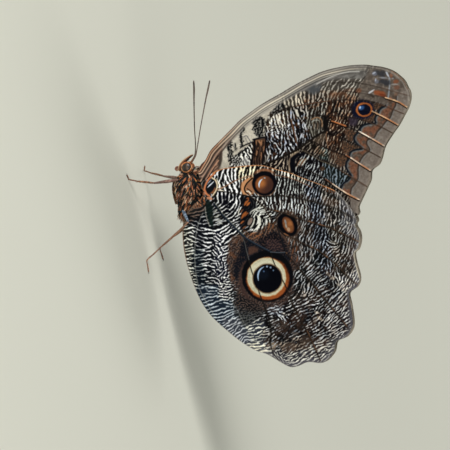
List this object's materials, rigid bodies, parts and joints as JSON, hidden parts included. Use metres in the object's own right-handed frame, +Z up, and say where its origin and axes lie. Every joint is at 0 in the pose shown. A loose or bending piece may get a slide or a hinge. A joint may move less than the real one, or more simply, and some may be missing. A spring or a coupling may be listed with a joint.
{
  "type": "owl butterfly model",
  "caption": "Life-size still model of an owl butterfly standing with its wings closed over its back, showing the undersides with their large eyespots.",
  "frame": {"origin": "middle of the whole model's footprint box, on the floor that the feet stand on", "axes": "+Z up towards the back and wings, -X towards the head, -Y towards the butterfly's left side"},
  "size_m": [0.1022, 0.0354, 0.0983],
  "materials": {
    "scaled_wing": "soft powdery scales in brown, cream, black and orange",
    "furred_body": "matt orange-brown and grey-green fur",
    "leg_shell": "pinkish-brown horny skin with a fine scale dusting",
    "eye": "dark mottled compound eye with a soft shine"
  },
  "bodies": {
    "root": {"forewing_left": "scaled_wing", "forewing_right": "scaled_wing", "hindwing_left": "scaled_wing", "hindwing_right": "scaled_wing", "thorax": "furred_body", "abdomen": "furred_body", "head": "furred_body", "palp_left": "furred_body", "palp_right": "furred_body", "foreleg_left": "furred_body", "foreleg_right": "furred_body", "antenna_left": "leg_shell", "antenna_right": "leg_shell", "proboscis": "leg_shell", "midleg_femur_left": "leg_shell", "midleg_femur_right": "leg_shell", "midleg_tibia_left": "leg_shell", "midleg_tibia_right": "leg_shell", "midleg_tarsus_left": "leg_shell", "midleg_tarsus_right": "leg_shell", "hindleg_femur_left": "leg_shell", "hindleg_femur_right": "leg_shell", "hindleg_tibia_left": "leg_shell", "hindleg_tibia_right": "leg_shell", "hindleg_tarsus_left": "leg_shell", "hindleg_tarsus_right": "leg_shell", "eye_left": "eye", "eye_right": "eye"}
  },
  "joints": []
}
